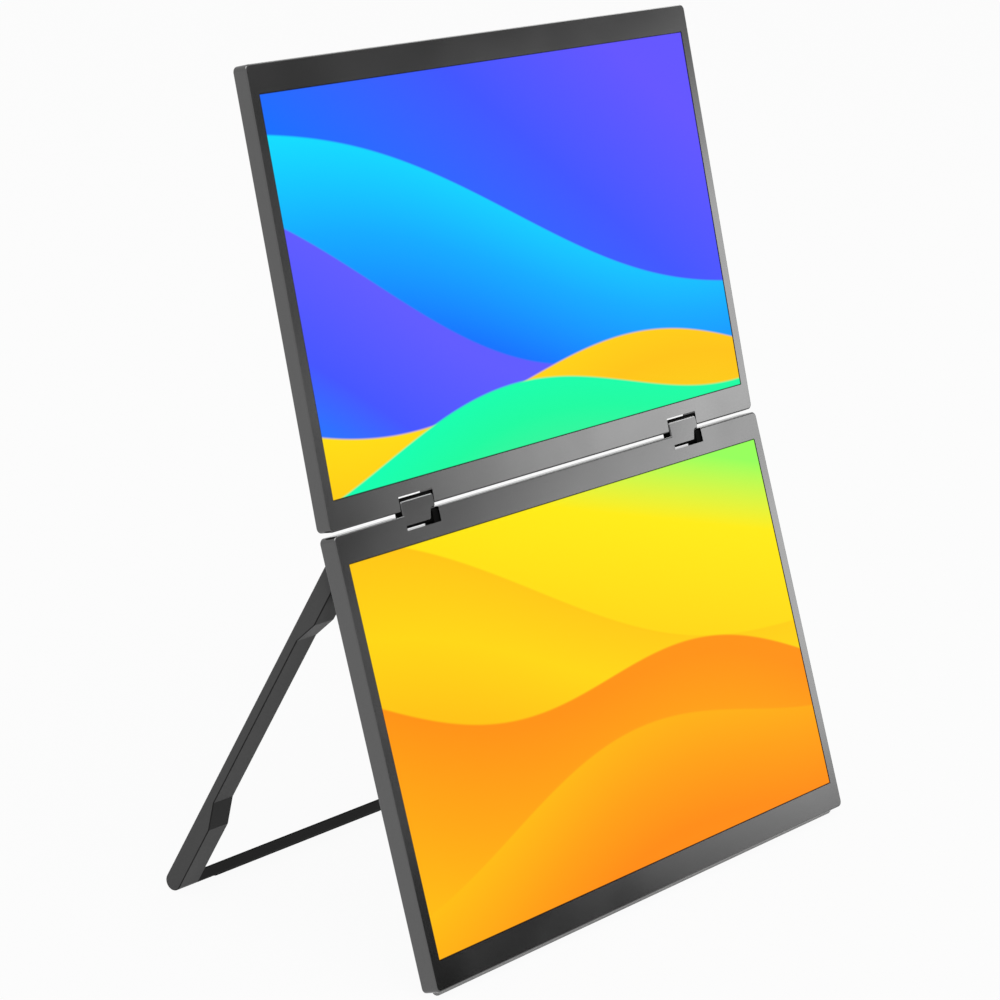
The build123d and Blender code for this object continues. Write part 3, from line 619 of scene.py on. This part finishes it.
def studio_floor():
    # Pale paper that camera and mirrors see as nearly white, with its soft shadow
    bpy.ops.object.select_all(action="DESELECT")
    bpy.ops.mesh.primitive_plane_add(size=floor_size, location=(0.0, 0.0, -floor_drop))
    floor = bpy.context.object
    floor.name = "studio_floor"
    made, tree, shader = new_finish("floor_white_paper")
    shader.inputs["Base Color"].default_value = floor_tone
    shader.inputs["Roughness"].default_value = 0.9
    shader.inputs["Specular IOR Level"].default_value = 0.0
    path = add(tree, "ShaderNodeLightPath")
    seen = math_node(tree, "MAXIMUM", path.outputs["Is Camera Ray"], path.outputs["Is Glossy Ray"])
    seen = math_node(tree, "MAXIMUM", seen, path.outputs["Is Transmission Ray"])
    white = add(tree, "ShaderNodeEmission")
    mix = add(tree, "ShaderNodeMixShader")
    join(tree, math_node(tree, "MULTIPLY", seen, floor_white_share), mix.inputs[0])
    join(tree, shader.outputs[0], mix.inputs[1])
    join(tree, white.outputs[0], mix.inputs[2])
    join(tree, mix.outputs[0], tree.nodes["Material Output"].inputs["Surface"])
    floor.data.materials.append(made)


def card_glow(tree):
    # Dark towards the lower edge of the card, with a soft bright oval in its middle
    place = object_place(tree)
    reach = add(tree, "ShaderNodeMapping")
    reach.inputs["Scale"].default_value = (card_w / glow_w, card_h / glow_h, 0.0)
    join(tree, place, reach.inputs["Vector"])
    length = add(tree, "ShaderNodeVectorMath", operation="LENGTH")
    join(tree, reach.outputs["Vector"], length.inputs[0])
    dark = between(tree, split_place(tree, place)["Y"], -0.12, 0.18, 0.06, 0.24)
    middle = between(tree, length.outputs["Value"], 0.42, 0.94, 1.0, 0.0, True)
    return math_node(tree, "MULTIPLY_ADD", middle, glow_level, dark)


def soft_card():
    # Card that only the fronts of the bezels mirror
    bpy.ops.object.select_all(action="DESELECT")
    level = math.cos(card_height)
    way = Vector((math.sin(card_bearing) * level, -math.cos(card_bearing) * level, math.sin(card_height)))
    bpy.ops.mesh.primitive_plane_add(size=1.0)
    card = bpy.context.object
    card.name = "studio_card"
    card.scale = (card_w, card_h, 1.0)
    card.rotation_mode = "QUATERNION"
    card.rotation_quaternion = (-way).to_track_quat("Z", "Y")
    card.location = way * card_away + card_aim
    made, tree, _ = new_finish("card_soft_light")
    shine = add(tree, "ShaderNodeEmission")
    join(tree, card_glow(tree), shine.inputs["Strength"])
    join(tree, shine.outputs[0], tree.nodes["Material Output"].inputs["Surface"])
    card.data.materials.append(made)
    card.visible_camera = False
    card.visible_diffuse = False
    card.visible_shadow = False


def lamp(name, place, size, power):
    data = bpy.data.lights.new(name, "AREA")
    data.shape = "DISK"
    data.size = size
    data.energy = power
    made = bpy.data.objects.new(name, data)
    bpy.context.scene.collection.objects.link(made)
    made.location = place
    made.rotation_euler = (lamp_aim - Vector(place)).to_track_quat("-Z", "Y").to_euler()


def studio_world():
    # Even white light all round, a little brighter where the camera sees it
    world = bpy.data.worlds.new("studio_world")
    bpy.context.scene.world = world
    world.use_nodes = True
    tree = world.node_tree
    sky = tree.nodes["Background"]
    sky.inputs["Color"].default_value = (1.0, 1.0, 1.0, 1.0)
    seen = add(tree, "ShaderNodeLightPath").outputs["Is Camera Ray"]
    join(tree, between(tree, seen, 0.0, 1.0, sky_light, sky_seen), sky.inputs["Strength"])


studio_floor()
soft_card()
lamp("top_softbox", (-0.6, -0.8, 3.2), 2.6, 60.0)
lamp("edge_softbox", (2.0, 0.5, 1.85), 0.8, 7.0)
studio_world()

# Camera at the photograph's viewing angle
camera_data = bpy.data.cameras.new("photo_camera")
camera = bpy.data.objects.new("photo_camera", camera_data)
bpy.context.scene.collection.objects.link(camera)
camera.location = (-1.427575, -1.017782, 0.725455)
camera.rotation_euler = [math.radians(turn) for turn in (72.98245, -4.6, -52.32276)]
camera_data.sensor_width = 36.0
camera_data.lens = 129.369
camera_data.clip_start = 0.05
camera_data.clip_end = 100.0
bpy.context.scene.camera = camera
bpy.context.scene.view_settings.view_transform = "Standard"
